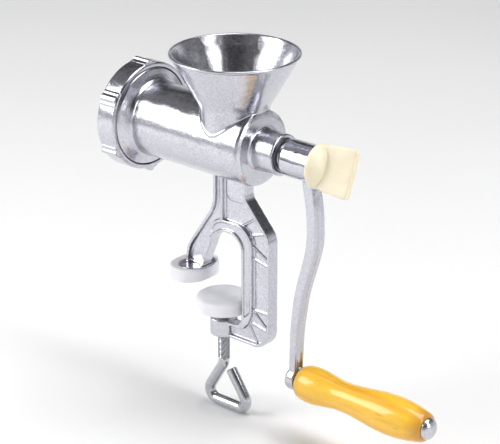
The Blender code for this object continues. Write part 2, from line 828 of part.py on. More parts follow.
def make_handle_grip():
    outside = [(GRIP_START + share * GRIP_LENGTH, radius) for share, radius in GRIP_PROFILE]
    inner = SPINDLE_R + GAP
    profile = [(GRIP_START, inner)] + outside + [(GRIP_END, inner)]
    mesh = turned_tube("handle_grip", profile, SPINDLE_ORIGIN, segments=28)
    add_part("handle_grip", mesh, "wood", SPINDLE_ORIGIN)


# ---- thumb screw ----
STUD_R = 0.0038


def make_thumb_screw_stud():
    profile = [
        (SHAFT_END - 0.0160, STUD_R - 0.0008),
        (SHAFT_END - 0.0152, STUD_R),
        (KNOB_X + 0.0080, STUD_R),
    ]
    add_part("thumb_screw_stud", turned("thumb_screw_stud", profile, segments=16), "steel", AXIS_ORIGIN)


def make_thumb_screw_knob():
    base = [
        (KNOB_X, KNOB_R - 0.0010),
        (KNOB_X + 0.0008, KNOB_R),
        (KNOB_X + 0.0030, KNOB_R),
        (KNOB_X + 0.0055, KNOB_R - 0.0014),
        (KNOB_X + 0.0080, KNOB_R - 0.0046),
        (KNOB_X + 0.0098, KNOB_R - 0.0090),
    ]
    mesh = turned("thumb_screw_knob", base, segments=32)
    knob = add_part("thumb_screw_knob", mesh, "ivory_plastic", AXIS_ORIGIN)
    join(knob, "wing", wing())
    hole = [(KNOB_X - 0.004, STUD_R + GAP), (KNOB_X + 0.0084, STUD_R + GAP)]
    cut(knob, "stud_seat", turned("stud_seat", hole, segments=16))


def wing():
    """The flat wing, thick at the base and thinner at the rounded outer end."""
    outline = [
        (0.0040, -0.0145),
        (0.0110, -0.0170),
        (0.0300, -0.0182),
        (0.0318, -0.0165),
        (0.0324, 0.0),
        (0.0318, 0.0165),
        (0.0300, 0.0182),
        (0.0110, 0.0170),
        (0.0040, 0.0145),
    ]
    spin = Matrix.Rotation(-KNOB_TILT, 4, "X")
    loops = []
    for side in (-1, -0.8, 0.8, 1):
        inset = 0.94 if abs(side) == 1 else 1.0
        row = []
        for along, rise in outline:
            half = 0.0056 - 0.09 * along
            point = Vector((KNOB_X + 0.004 + (along - 0.004) * inset, side * half, rise * inset))
            row.append(AXIS_ORIGIN + spin @ point)
        loops.append(row)
    return loft("wing", loops)


# ---- clamp screw ----
PAD_TOP = -0.0083
PAD_FOOT = -0.0193
PAD_R = 0.0212
DISC_R = 0.0150
SCREW_ORIGIN = Vector((SCREW_X, 0, 0))


def make_clamp_pad():
    profile = [
        (PAD_FOOT, PAD_R - 0.0014),
        (PAD_FOOT + 0.0014, PAD_R),
        (PAD_TOP - 0.0022, PAD_R),
        (PAD_TOP - 0.0006, PAD_R - 0.0016),
        (PAD_TOP, PAD_R - 0.0046),
    ]
    mesh = turned("clamp_pad", profile, SCREW_ORIGIN, Z_AXIS, 40)
    pad = add_part("clamp_pad", mesh, "white_plastic", SCREW_ORIGIN)
    recess = [(PAD_FOOT - 0.003, DISC_R + GAP), (PAD_FOOT + 0.0050, DISC_R + GAP)]
    cut(pad, "disc_recess", turned("disc_recess", recess, SCREW_ORIGIN, Z_AXIS, 28))
    cup = [(PAD_FOOT, 0.0064), (PAD_FOOT + 0.0078, 0.0064)]
    cut(pad, "rivet_recess", turned("rivet_recess", cup, SCREW_ORIGIN, Z_AXIS, 16))


def make_swivel_disc():
    inner = 0.0034
    profile = [
        (PAD_FOOT + 0.0007, inner),
        (PAD_FOOT + 0.0007, DISC_R),
        (PAD_FOOT + 0.0047, DISC_R),
        (PAD_FOOT + 0.0047, inner),
    ]
    mesh = turned_tube("swivel_disc", profile, SCREW_ORIGIN, Z_AXIS, 28)
    add_part("swivel_disc", mesh, "steel", SCREW_ORIGIN)


LOOP_CORNERS = [
    (0.0300, -0.0350, 0),
    (0.0300, -0.0655, 0.012),
    (0.0095, -0.0985, 0.0075),
    (0.0585, -0.0985, 0.0065),
    (0.0375, -0.0690, 0),
]


def make_clamp_screw():
    neck_top = PAD_FOOT + 0.0050
    rivet = [
        (PAD_FOOT - 0.0030, ROD_R - 0.0002),
        (PAD_FOOT + 0.0004, ROD_R - 0.0002),
        (PAD_FOOT + 0.0004, 0.0030),
        (neck_top, 0.0030),
        (neck_top, 0.0052),
        (neck_top + 0.0012, 0.0052),
        (neck_top + 0.0022, 0.0030),
    ]
    loop = rounded(LOOP_CORNERS, 6)
    path = [Vector((SCREW_X, 0, PAD_FOOT - 0.001))] + [Vector((p[0], 0, p[1])) for p in loop]
    radii = [ROD_R] * 2 + [LOOP_R] * (len(path) - 3) + [LOOP_R * 0.9]
    screw = add_part("clamp_screw", swept("clamp_screw", path, radii, 5), "steel", SCREW_ORIGIN)
    join(screw, "rivet", turned("rivet", rivet, SCREW_ORIGIN, Z_AXIS, 18))


make_body_casting()
make_jaw_pad()
make_bearing_bush()
make_plate_key()
make_cutting_plate()
make_retaining_ring()
make_feed_screw()
make_drive_stud()
make_cross_knife()
make_thrust_washer()
make_crank_arm()
make_handle_spindle()
make_spindle_washer()
make_handle_grip()
make_thumb_screw_stud()
make_thumb_screw_knob()
make_clamp_pad()
make_swivel_disc()
make_clamp_screw()
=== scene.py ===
"""Hand crank meat grinder: the looks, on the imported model's frame. All lengths are in metres."""

import math

import bmesh
import bpy
import numpy as np
from mathutils import Matrix, Vector


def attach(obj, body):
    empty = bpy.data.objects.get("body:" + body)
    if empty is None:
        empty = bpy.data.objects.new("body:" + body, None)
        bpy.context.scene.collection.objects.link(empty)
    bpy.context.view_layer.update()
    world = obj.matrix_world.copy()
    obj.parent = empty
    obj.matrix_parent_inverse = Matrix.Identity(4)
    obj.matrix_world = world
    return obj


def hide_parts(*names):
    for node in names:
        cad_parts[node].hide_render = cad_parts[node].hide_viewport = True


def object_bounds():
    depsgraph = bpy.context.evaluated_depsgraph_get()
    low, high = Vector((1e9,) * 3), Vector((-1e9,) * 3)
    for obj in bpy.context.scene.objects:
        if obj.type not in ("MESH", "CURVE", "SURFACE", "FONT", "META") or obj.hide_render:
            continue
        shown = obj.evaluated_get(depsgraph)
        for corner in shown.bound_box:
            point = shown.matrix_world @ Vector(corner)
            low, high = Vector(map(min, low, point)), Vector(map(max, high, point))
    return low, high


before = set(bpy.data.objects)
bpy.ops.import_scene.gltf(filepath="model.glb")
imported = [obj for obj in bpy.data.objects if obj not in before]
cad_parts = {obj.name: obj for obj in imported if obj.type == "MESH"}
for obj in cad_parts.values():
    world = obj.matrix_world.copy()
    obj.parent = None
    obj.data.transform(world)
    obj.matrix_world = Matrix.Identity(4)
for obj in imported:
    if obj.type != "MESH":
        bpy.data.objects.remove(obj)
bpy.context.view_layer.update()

# ---- axes and dimensions, the same as the solids' ----
# The top of the table that the grinder clamps to is at height 0.
X_AXIS = Vector((1, 0, 0))
Y_AXIS = Vector((0, 1, 0))
Z_AXIS = Vector((0, 0, 1))

AXIS_Z = 0.118
HOPPER_X = 0.0420
SCREW_X = 0.0300
SPINDLE_Z = -0.0560

# A point on each axis that pieces are turned about.
BARREL = Vector((0, 0, AXIS_Z))
SPINDLE = Vector((0, 0, SPINDLE_Z))
SCREW = Vector((SCREW_X, 0, 0))

FRAME_HALF = 0.0050
FRAME_FOOT = -0.0398
NECK_LEFT = 0.0240
NECK_RIGHT = 0.0560
NECK_TOP = 0.096
NECK_RIB_X = 0.0323
FLANGE = 0.0023
BEAD_HALF = 0.0011
BEAD_TOP = 0.0535

# Half thicknesses: the web in the side pockets, the web in the band, and a rib.
WEB_HALF = 0.0020
BAND_HALF = 0.0034
RIB_DEPTH_HALF = 0.0029
RIB_HALF = 0.0005

BARREL_SKIN_R = 0.02885
RIM_RISE = 0.0680
RIM_R = 0.0485
HOPPER_WALL = 0.0024
SEAM_R = 0.0008
SIDE_BEAD_R = 0.0009
SIDE_BEAD_TURN = math.radians(219)

LUG_COUNT = 6
LUG_FACES = (-0.0433, -0.0591)
PLATE_HOLE_R = 0.0022
PLATE_HOLE_ROWS = ((0.0105, 6), (0.0170, 11), (0.0238, 16))

FLIGHT_START = -0.0410
FLIGHT_LENGTH = 0.093
FLIGHT_TURNS = 3.4

ARM_HALF = 0.0053
GRIP_START = 0.1085
GRIP_LENGTH = 0.1160
GRIP_END = GRIP_START + GRIP_LENGTH
GRIP_BORE_R = 0.0039
KNOB_X = 0.1212
WING_TURN = math.radians(-21)

THREAD_PITCH = 0.0015
THREAD_DEPTH = 0.00075
THREAD_TOP = -0.0193
THREAD_STEP = 0.00018
THREAD_STEPS = 234
ROD_R = 0.0046
LOOP_R = 0.0042

# Voxel sizes for pieces that are remeshed so that their edges are soft.
LARGE_VOXEL = 0.00055
CRANK_VOXEL = 0.00042
SMALL_VOXEL = 0.00040

# ---- turned profiles: distance along the axis, radius ----
BARREL_PROFILE = [
    (-0.0565, 0.0369),
    (-0.0557, 0.0375),
    (-0.0435, 0.0375),
    (-0.0424, 0.0367),
    (-0.0405, 0.0328),
    (-0.0388, 0.0303),
    (-0.0370, 0.0291),
    (-0.0356, 0.0287),
    (0.0655, 0.0287),
    (0.0668, 0.0284),
    (0.0676, 0.0278),
    (0.0690, 0.0251),
    (0.0696, 0.0175),
    (0.0702, 0.0163),
    (0.0716, 0.0157),
    (0.0892, 0.0157),
    (0.0899, 0.0150),
]

BARREL_BORE = [
    (-0.0605, 0.0314),
    (-0.0514, 0.0314),
    (-0.0514, 0.0254),
    (0.0620, 0.0254),
    (0.0620, 0.0126),
    (0.0939, 0.0126),
]

SCREW_BOSS = [(-0.0400, 0.0099), (-0.0394, 0.0105), (-0.0268, 0.0105), (-0.0262, 0.0099)]

RING_PROFILE = [
    (-0.0427, 0.0380),
    (-0.0427, 0.0403),
    (-0.0439, 0.0415),
    (-0.0593, 0.0415),
    (-0.0607, 0.0401),
    (-0.0607, 0.0283),
    (-0.0599, 0.0275),
    (-0.0580, 0.0275),
    (-0.0580, 0.0380),
]

AUGER_CORE = [
    (-0.0440, 0.0088),
    (-0.0140, 0.0096),
    (0.0500, 0.0130),
    (0.0560, 0.0200),
    (0.0590, 0.0200),
    (0.0590, 0.0098),
    (0.0918, 0.0098),
    (0.0924, 0.0065),
]

CRANK_BOSS = [
    (0.0930, 0.0106),
    (0.0936, 0.0120),
    (0.0946, 0.0131),
    (0.0964, 0.0140),
    (0.1201, 0.0140),
    (0.1207, 0.0134),
]

CRANK_EYE = [
    (0.0968, 0.0060),
    (0.0975, 0.0074),
    (0.0984, 0.0083),
    (0.0998, 0.0088),
    (0.1050, 0.0088),
    (0.1056, 0.0082),
]

SPINDLE_RIVET = [
    (0.0944, 0.0010),
    (0.0946, 0.0026),
    (0.0952, 0.0042),
    (0.0964, 0.0052),
    (0.0964, 0.0036),
]

# Distances are from the flange of the spindle's outer end.
SPINDLE_DOME = [
    (0.0014, 0.0082),
    (0.0030, 0.0075),
    (0.0046, 0.0055),
    (0.0057, 0.0028),
    (0.0060, 0.0003),
]

# Distances are shares of the grip's length.
GRIP_PROFILE = [
    (0.000, 0.0098),
    (0.012, 0.0120),
    (0.045, 0.0134),
    (0.100, 0.0140),
    (0.160, 0.0136),
    (0.230, 0.0124),
    (0.310, 0.0112),
    (0.400, 0.0113),
    (0.500, 0.0125),
    (0.610, 0.0141),
    (0.700, 0.0149),
    (0.790, 0.0148),
    (0.880, 0.0137),
    (0.960, 0.0118),
    (0.990, 0.0107),
    (1.000, 0.0096),
]

# Distances are from the knob's inner face.
KNOB_BASE = [
    (0.0000, 0.0158),
    (0.0008, 0.0168),
    (0.0030, 0.0168),
    (0.0042, 0.0163),
    (0.0055, 0.0154),
    (0.0068, 0.0140),
    (0.0080, 0.0122),
    (0.0090, 0.0100),
    (0.0098, 0.0078),
]

CLAMP_PAD = [
    (-0.0193, 0.0198),
    (-0.0188, 0.0208),
    (-0.0179, 0.0212),
    (-0.0110, 0.0212),
    (-0.0096, 0.0208),
    (-0.0088, 0.0196),
    (-0.0084, 0.0180),
    (-0.0083, 0.0166),
]

SCREW_RIVET = [
    (-0.0223, 0.0040),
    (-0.0189, 0.0040),
    (-0.0189, 0.0030),
    (-0.0143, 0.0030),
    (-0.0143, 0.0052),
    (-0.0131, 0.0052),
    (-0.0121, 0.0030),
]

# ---- outlines: x, z, corner radius ----
OUTER_LEFT = [
    (NECK_LEFT, 0.1000, 0),
    (NECK_LEFT, 0.0640, 0.030),
    (-0.0035, 0.0240, 0.025),
    (-0.0045, 0.0080, 0),
]

OUTER_RIGHT = [
    (0.0300, FRAME_FOOT, 0),
    (0.0794, FRAME_FOOT, 0.015),
    (0.0794, 0.0510, 0.016),
    (NECK_RIGHT, 0.0770, 0.008),
    (NECK_RIGHT, 0.1000, 0),
]

INNER = [
    (0.0112, 0.0080, 0),
    (0.0261, 0.0456, 0.018),
    (0.0522, 0.0456, 0.013),
    (0.0522, -0.0277, 0.008),
    (0.0300, -0.0277, 0),
]

BEAD = [
    (0.0095, 0.0080, 0),
    (0.0240, BEAD_TOP, 0.014),
    (0.0611, BEAD_TOP, 0.015),
    (0.0611, -0.0140, 0),
]

NECK_PAD = [
    (0.0360, 0.0960, 0),
    (0.0360, 0.0715, 0.0060),
    (0.0545, 0.0715, 0.0060),
    (0.0545, 0.0960, 0),
]

# Here x is the distance from the knob's inner face.
KNOB_WING = [
    (0.0040, -0.0145, 0),
    (0.0110, -0.0170, 0.02),
    (0.0318, -0.0184, 0.0030),
    (0.0326, 0.0, 0.08),
    (0.0318, 0.0184, 0.0030),
    (0.0110, 0.0170, 0.02),
    (0.0040, 0.0145, 0),
]

LOOP_CORNERS = [
    (0.0300, -0.0350, 0),
    (0.0300, -0.0655, 0.0120),
    (0.0095, -0.0985, 0.0075),
    (0.0585, -0.0985, 0.0065),
    (0.0375, -0.0690, 0),
]

# ---- sections and stations ----
# Ends of the ribs on the web, as (x, z).
ZIGZAG = [
    ((0.0496, 0.0525), (0.0668, 0.0645)),
    ((0.0600, 0.0485), (0.0762, 0.0534)),
    ((0.0618, 0.0405), (0.0785, 0.0312)),
    ((0.0618, 0.0306), (0.0785, 0.0270)),
    ((0.0618, -0.0112), (0.0785, -0.0110)),
    ((0.0630, -0.0125), (0.0768, -0.0241)),
    ((0.0585, -0.0219), (0.0745, -0.0252)),
    ((0.0580, -0.0235), (0.0664, -0.0375)),
]

# Height over the barrel axis, half width along X and along Y.
HOPPER_STATIONS = [
    (0.0020, 0.0226, 0.0266),
    (0.0140, 0.0228, 0.0266),
    (0.0210, 0.0234, 0.0267),
    (0.0290, 0.0260, 0.0276),
    (0.0370, 0.0310, 0.0314),
    (0.0480, 0.0374, 0.0374),
    (0.0590, 0.0434, 0.0434),
    (0.0655, 0.0468, 0.0468),
]

# Distance along Y and along Z from the barrel axis.
LUG_EDGE = [(-0.0062, 0.0400), (-0.0050, 0.0421), (-0.0026, 0.0424), (-0.0016, 0.0440), (0.0, 0.0443)]
LUG_SECTION = LUG_EDGE + [(-y, z) for y, z in reversed(LUG_EDGE[:-1])]

# Distance along the axis from the flight's middle, radius.
FLIGHT_SECTION = [
    (-0.0022, 0.0060),
    (-0.0013, 0.0240),
    (-0.0008, 0.0246),
    (0.0008, 0.0246),
    (0.0013, 0.0240),
    (0.0022, 0.0060),
]

# Drop below the barrel axis, inner face along X, thickness along X.
ARM_STATIONS = [
    (0.0060, 0.1085, 0.0110),
    (0.0195, 0.1105, 0.0106),
    (0.0380, 0.1134, 0.0104),
    (0.0580, 0.1140, 0.0102),
    (0.0700, 0.1122, 0.0098),
    (0.0835, 0.1085, 0.0094),
    (0.0960, 0.1052, 0.0088),
    (0.1090, 0.1025, 0.0082),
    (0.1330, 0.0998, 0.0072),
    (0.1550, 0.0992, 0.0064),
    (0.1700, 0.0990, 0.0060),
]

# Shares of the thickness and of the half width.
ARM_SECTION = [
    (0.00, -0.60),
    (0.16, -1.00),
    (0.90, -1.00),
    (1.00, -0.88),
    (1.00, -0.62),
    (0.84, -0.48),
    (0.84, 0.48),
    (1.00, 0.62),
    (1.00, 0.88),
    (0.90, 1.00),
    (0.16, 1.00),
    (0.00, 0.60),
]

# Height, and how far the side is drawn in there.
JAW_PAD_EDGE = [
    (0.0000, 0.0012),
    (0.0004, 0.0004),
    (0.0012, 0.0000),
    (0.0098, 0.0000),
    (0.0106, 0.0004),
    (0.0110, 0.0012),
]

# ---- camera ----
AIM = Vector((0.0565, 0.0, 0.0576))
AZIMUTH = math.radians(41.5)
ELEVATION = math.radians(21.8)
DISTANCE = 1.60
LENS = 155.7


# ---- mesh helpers ----
def placed(name, data):
    obj = bpy.data.objects.new(name, data)
    bpy.context.scene.collection.objects.link(obj)
    return obj


def mesh_from(name, verts, faces):
    mesh = bpy.data.meshes.new(name)
    mesh.from_pydata([tuple(v) for v in verts], [], faces)
    work = bmesh.new()
    work.from_mesh(mesh)
    bmesh.ops.remove_doubles(work, verts=work.verts, dist=1e-7)
    bmesh.ops.recalc_face_normals(work, faces=work.faces)
    if work.calc_volume(signed=True) < 0:
        bmesh.ops.reverse_faces(work, faces=work.faces)
    work.to_mesh(mesh)
    work.free()
    return mesh


def strip_faces(rows, count, closed=False):
    faces = []
    for i in range(rows if closed else rows - 1):
        n = (i + 1) % rows
        for j in range(count):
            k = (j + 1) % count
            faces.append((i * count + j, i * count + k, n * count + k, n * count + j))
    return faces


def loft(name, loops):
    """A closed solid through loops of equal length, flat at both ends."""
    count = len(loops[0])
    faces = strip_faces(len(loops), count)
    faces.append(tuple(reversed(range(count))))
    faces.append(tuple(range((len(loops) - 1) * count, len(loops) * count)))
    return mesh_from(name, [v for loop in loops for v in loop], faces)


def circle_at(centre, axis, radius, segments):
    start = Z_AXIS if abs(axis.x) > 0.5 else X_AXIS
    side = axis.cross(start)
    turns = np.linspace(0, 2 * math.pi, segments, endpoint=False)
    return [centre + radius * (math.cos(t) * start + math.sin(t) * side) for t in turns]


def circles_along(profile, origin, axis, segments):
    circles = []
    for along, radius in profile:
        centre = origin + float(along) * axis
        circles.append(circle_at(centre, axis, max(float(radius), 1e-5), segments))
    return circles


def turned(name, profile, origin=BARREL, axis=X_AXIS, segments=96):
    """A solid of revolution from (distance along the axis, radius) pairs."""
    return loft(name, circles_along(profile, origin, axis, segments))


def turned_tube(name, profile, origin=BARREL, axis=X_AXIS, segments=96):
    """A solid of revolution from a closed (along, radius) loop that stays off the axis."""
    loops = circles_along(profile, origin, axis, segments)
    faces = strip_faces(len(loops), segments, closed=True)
    return mesh_from(name, [v for loop in loops for v in loop], faces)


def pin(name, radius, start, end, origin=BARREL, axis=X_AXIS, segments=48):
    """A plain round bar between two distances along the axis."""
    return turned(name, [(start, radius), (end, radius)], origin, axis, segments)


def prism(name, outline, half_depth):
    """An (x, z) outline drawn out along Y to both sides."""
    depths = (-half_depth, half_depth)
    return loft(name, [[Vector((p[0], y, p[1])) for p in outline] for y in depths])


def slab(name, outline, low, high):
    """An (x, y) outline drawn up from one height to another."""
    return loft(name, [[Vector((x, y, z)) for x, y in outline] for z in (low, high)])


def square_bar(name, start, end, half):
    """A bar of square section along the barrel axis."""
    outline = [(start, -half), (end, -half), (end, half), (start, half)]
    return slab(name, outline, AXIS_Z - half, AXIS_Z + half)


def obround(centre_x, half_width, half_length, steps=20):
    reach = half_length - half_width
    points = []
    for sign in (1, -1):
        for i in range(steps + 1):
            turn = math.pi * i / steps + (0 if sign > 0 else math.pi)
            x = centre_x + half_width * math.cos(turn)
            points.append((x, sign * reach + half_width * math.sin(turn)))
    return points


def rounded(corners, steps=12):
    """A line through (x, z, radius) corners, each corner turned into an arc of its radius."""
    points = []
    for i, (x, z, radius) in enumerate(corners):
        here = Vector((x, z))
        if radius == 0:
            points.append(here)
            continue
        before = (Vector(corners[i - 1][:2]) - here).normalized()
        after = (Vector(corners[(i + 1) % len(corners)][:2]) - here).normalized()
        half = before.angle(after) / 2
        centre = here + (before + after).normalized() * radius / math.sin(half)
        first = here + before * radius / math.tan(half) - centre
        last = here + after * radius / math.tan(half) - centre
        sweep = first.angle_signed(last)
        for step in range(steps + 1):
            points.append(centre + Matrix.Rotation(-sweep * step / steps, 2) @ first)
    return points


def shifted(line, distance):
    """An open line moved to its left by the distance, in its own plane."""
    moved = []
    for i, point in enumerate(line):
        before = (point - line[i - 1]).normalized() if i else None
        after = (line[i + 1] - point).normalized() if i + 1 < len(line) else None
        along = ((before or after) + (after or before)).normalized()
        normal = Vector((-along.y, along.x))
        straight = Vector((-(after or before).y, (after or before).x))
        moved.append(point + normal * distance / max(normal.dot(straight), 0.3))
    return moved


def direction(path, i):
    """The direction of a path at one of its points, from the points beside it."""
    return (path[min(i + 1, len(path) - 1)] - path[max(i - 1, 0)]).normalized()


def smooth_curve(knots, count):
    """A Catmull-Rom line of count points through knots of any dimension."""
    knots = np.array(knots, float)
    ends = np.vstack([2 * knots[0] - knots[1], knots, 2 * knots[-1] - knots[-2]])
    points = []
    for t in np.linspace(0, len(knots) - 1, count):
        i = min(int(t), len(knots) - 2)
        f = t - i
        a, b, c, d = ends[i : i + 4]
        square = (2 * a - 5 * b + 4 * c - d) * f**2
        cube = (3 * b - a - 3 * c + d) * f**3
        points.append(tuple(map(float, 0.5 * (2 * b + (c - a) * f + square + cube))))
    return points


def merged(name, first, steps, voxel=None, smoothing=0):
    """Joins and cuts closed meshes in order. With a voxel size it also remeshes and smooths."""
    obj = placed(name, first)
    helpers = []
    for operation, mesh in steps:
        helper = placed(name + "_tool", mesh)
        helpers.append(helper)
        modifier = obj.modifiers.new("tool", "BOOLEAN")
        modifier.object = helper
        modifier.operation = operation
        modifier.solver = "EXACT"
    if voxel:
        remesh = obj.modifiers.new("remesh", "REMESH")
        remesh.mode = "VOXEL"
        remesh.voxel_size = voxel
        soften = obj.modifiers.new("soften", "SMOOTH")
        soften.factor = 0.5
        soften.iterations = smoothing
    graph = bpy.context.evaluated_depsgraph_get()
    made = bpy.data.meshes.new_from_object(obj.evaluated_get(graph))
    obj.modifiers.clear()
    obj.data = made
    for helper in helpers:
        bpy.data.objects.remove(helper, do_unlink=True)
    return obj


def finished(obj, body, slot, material, *nodes, angle=None):
    """Shades a piece smooth and says its material, its body and what it replaces. The slot is not
    used.
    """
    if isinstance(obj, bpy.types.Mesh):
        obj = placed(obj.name, obj)
    obj.data.materials.clear()
    obj.data.materials.append(material)
    obj.data.shade_smooth()
    if angle is not None:
        obj.data.set_sharp_from_angle(angle=math.radians(angle))
    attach(obj, body)
    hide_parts(*nodes)


# ---- materials ----
def set_stops(ramp, stops):
    """Gives a color ramp node its (position, color) stops. A bare number is a grey."""
    band = ramp.color_ramp
    while len(band.elements) < len(stops):
        band.elements.new(0.5)
    for element, (position, color) in zip(band.elements, stops):
        element.position = position
        element.color = (*color, 1) if isinstance(color, tuple) else (color, color, color, 1)


class Nodes:
    """A Principled material and short calls to add nodes to it."""

    def __init__(self, name):
        self.material = bpy.data.materials.new(name)
        self.material.use_nodes = True
        self.tree = self.material.node_tree
        self.shader = self.tree.nodes["Principled BSDF"]

    def add(self, kind, **values):
        """A new node with its inputs set, by their names with _ for each space."""
        node = self.tree.nodes.new(kind)
        for key, value in values.items():
            node.inputs[key.replace("_", " ")].default_value = value
        return node

    def link(self, source, target):
        self.tree.links.new(source, target)

    def place(self, scale=(1, 1, 1)):
        """Object coordinates, stretched."""
        coord = self.add("ShaderNodeTexCoord")
        mapping = self.add("ShaderNodeMapping", Scale=scale)
        self.link(coord.outputs["Object"], mapping.inputs["Vector"])
        return mapping.outputs["Vector"]

    def noise(self, vector, scale, detail=3.0, roughness=0.5, distortion=0.0):
        values = {"Scale": scale, "Detail": detail, "Roughness": roughness, "Distortion": distortion}
        node = self.add("ShaderNodeTexNoise", **values)
        self.link(vector, node.inputs["Vector"])
        return node.outputs["Fac"]

    def ramp(self, value, stops):
        node = self.add("ShaderNodeValToRGB")
        set_stops(node, stops)
        self.link(value, node.inputs["Fac"])
        return node.outputs["Color"]

    def mix(self, base, color, share):
        """The base, turned towards the color by the share."""
        node = self.add("ShaderNodeMixRGB", Color2=(*color, 1))
        self.link(base, node.inputs["Color1"])
        self.link(share, node.inputs["Fac"])
        return node.outputs["Color"]

    def spread(self, value, low, high):
        node = self.add("ShaderNodeMapRange", To_Min=low, To_Max=high)
        self.link(value, node.inputs["Value"])
        return node.outputs["Result"]

    def bump(self, value, strength, distance, under=None):
        node = self.add("ShaderNodeBump", Strength=strength, Distance=distance)
        self.link(value, node.inputs["Height"])
        if under is not None:
            self.link(under, node.inputs["Normal"])
        return node.outputs["Normal"]

    def set(self, **values):
        for key, value in values.items():
            self.shader.inputs[key.replace("_", " ")].default_value = value


def metal(name, light, dark, rough, grain, swell):
    """Bare metal: a fine grain, slow swells in the surface, and slightly uneven polish."""
    m = Nodes(name)
    m.set(Metallic=1.0)
    where = m.place()
    fine = m.noise(where, 1700, 2.0)
    slow = m.noise(where, 55, 2.0)
    tone = m.noise(where, 850, 3.0, 0.6)
    m.link(m.ramp(tone, [(0.30, dark), (0.70, light)]), m.shader.inputs["Base Color"])
    m.link(m.spread(tone, rough[0], rough[1]), m.shader.inputs["Roughness"])
    under = m.bump(slow, swell, 0.004)
    m.link(m.bump(fine, grain, 0.0004, under), m.shader.inputs["Normal"])
    return m.material


def plastic(name, color, shade, rough, scatter):
    """Moulded plastic: faint mottling and a fine moulded texture."""
    m = Nodes(name)
    where = m.place()
    mottle = m.noise(where, 90, 3.0)
    m.link(m.ramp(mottle, [(0.35, shade), (0.65, color)]), m.shader.inputs["Base Color"])
    m.link(m.spread(mottle, rough - 0.05, rough + 0.06), m.shader.inputs["Roughness"])
    m.set(Subsurface_Weight=0.25, Subsurface_Scale=scatter)
    m.link(m.bump(m.noise(where, 900, 2.0), 0.05, 0.0003), m.shader.inputs["Normal"])
    return m.material


def varnished_wood():
    """Yellow varnished hardwood: streaks along the grip, dark pores, browner towards its ends."""
    m = Nodes("varnished_wood")
    grain = m.noise(m.place((9, 90, 90)), 1.0, 6.0, 0.6, 0.6)
    shades = [(0.32, (0.80, 0.38, 0.010)), (0.55, (0.90, 0.52, 0.016)), (0.75, (0.95, 0.60, 0.030))]
    body = m.ramp(grain, shades)
    pores = m.noise(m.place((60, 900, 900)), 1.0, 2.0)
    holes = m.ramp(pores, [(0.66, 0.0), (0.73, 1.0)])
    darker = m.mix(body, (0.30, 0.11, 0.008), m.spread(holes, 0.0, 0.55))
    split = m.add("ShaderNodeSeparateXYZ")
    m.link(m.place(), split.inputs["Vector"])
    along = m.add("ShaderNodeMapRange", From_Min=GRIP_START, From_Max=GRIP_END)
    m.link(split.outputs["X"], along.inputs["Value"])
    shares = [(0.0, 0.45), (0.08, 0.12), (0.40, 0.0), (0.90, 0.05), (1.0, 0.8)]
    ends = m.ramp(along.outputs["Result"], shares)
    m.link(m.mix(darker, (0.50, 0.20, 0.012), ends), m.shader.inputs["Base Color"])
    m.set(Roughness=0.45, Coat_Weight=0.8, Coat_Roughness=0.12)
    m.link(m.bump(grain, 0.12, 0.0006), m.shader.inputs["Normal"])
    m.link(m.bump(m.noise(m.place(), 70, 2.0), 0.06, 0.002), m.shader.inputs["Coat Normal"])
    return m.material


CAST = metal("cast_aluminium", (0.70, 0.70, 0.75), (0.44, 0.44, 0.49), (0.10, 0.28), 0.18, 0.22)
CRANK = metal("polished_aluminium", (0.64, 0.64, 0.69), (0.46, 0.46, 0.51), (0.05, 0.14), 0.05, 0.26)
STEEL = metal("zinc_steel", (0.66, 0.67, 0.70), (0.42, 0.43, 0.46), (0.14, 0.30), 0.08, 0.08)
DARK_STEEL = metal("ground_steel", (0.50, 0.50, 0.53), (0.34, 0.34, 0.37), (0.25, 0.40), 0.12, 0.05)
WHITE = plastic("white_plastic", (0.86, 0.86, 0.90), (0.80, 0.80, 0.85), 0.38, 0.004)
IVORY = plastic("ivory_plastic", (0.86, 0.80, 0.62), (0.80, 0.73, 0.54), 0.34, 0.006)
WOOD = varnished_wood()


# ---- body casting ----
def frame_pockets():
    """Outlines of the pockets left of the neck rib, right of it, and inside the bead."""
    inner = rounded(INNER)
    bead = rounded(BEAD)
    outside = shifted(bead, BEAD_HALF)
    rib_low = NECK_RIB_X - BEAD_HALF
    rib_high = NECK_RIB_X + BEAD_HALF
    left = [Vector((rib_low, NECK_TOP)), Vector((NECK_LEFT + FLANGE, NECK_TOP))]
    left += [p for p in shifted(rounded(OUTER_LEFT), FLANGE) if p.y < NECK_TOP - 0.002]
    left += [p for p in outside if p.x < NECK_RIB_X - 0.003]
    left.append(Vector((rib_low, BEAD_TOP + BEAD_HALF)))
    right = [Vector((rib_high, NECK_TOP)), Vector((rib_high, BEAD_TOP + BEAD_HALF))]
    right += [p for p in outside if p.x > NECK_RIB_X + 0.003]
    right += [Vector((0.0590, -0.0225)), Vector((0.0530, -0.0288)), Vector((0.0460, -0.0302))]
    right += [Vector((0.0380, -0.0302)), Vector((0.0380, FRAME_FOOT + FLANGE))]
    right += [p for p in shifted(rounded(OUTER_RIGHT), FLANGE)[1:] if p.y < NECK_TOP - 0.002]
    right.append(Vector((NECK_RIGHT - FLANGE, NECK_TOP)))
    band = [p for p in shifted(inner, FLANGE * 0.8) if p.y > -0.020 and p.x > 0.0120 or p.y > 0.02]
    band += list(reversed(shifted(bead, -BEAD_HALF)))
    return left, right, band


def pockets(outline, floor_half):
    """Cutters for one pocket on each face of the frame, down to its floor."""
    outer = FRAME_HALF + 0.003
    made = []
    for sign in (-1, 1):
        loops = [[Vector((p[0], sign * y, p[1])) for p in outline] for y in (floor_half, outer)]
        made.append(loft("pocket", loops))
    return made


def rib_outline(start, end):
    start = Vector(start)
    end = Vector(end)
    along = (end - start).normalized()
    across = Vector((-along.y, along.x)) * RIB_HALF
    return [start + across, start - across, end - across, end + across]


